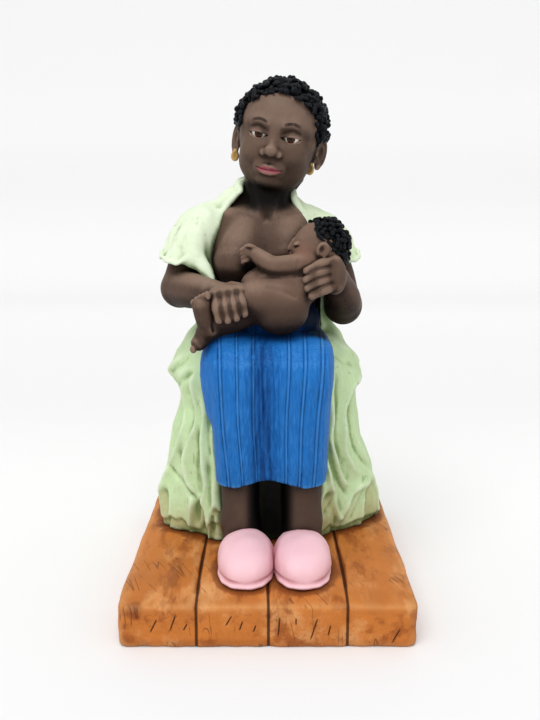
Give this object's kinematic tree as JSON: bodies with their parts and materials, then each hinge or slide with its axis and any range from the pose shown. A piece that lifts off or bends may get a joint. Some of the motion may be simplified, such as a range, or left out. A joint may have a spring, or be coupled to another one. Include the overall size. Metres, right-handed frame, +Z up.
{
  "type": "mother and child figurine",
  "caption": "Painted cast figurine of a seated mother in an open robe and long skirt nursing a baby on her lap, on a base of grooved boards.",
  "frame": {"origin": "middle of the base's underside", "axes": "+Z up, the figure faces -Y, +X is to the right of a viewer in front of it"},
  "size_m": [0.13, 0.15, 0.2549],
  "materials": {
    "painted_cast": "hand-painted cast resin, matte, with washes in the creases",
    "stained_boards": "cast resin painted as oiled orange-brown boards"
  },
  "bodies": {
    "root": {"mother_and_child": "painted_cast", "plank_base": "stained_boards"}
  },
  "joints": []
}
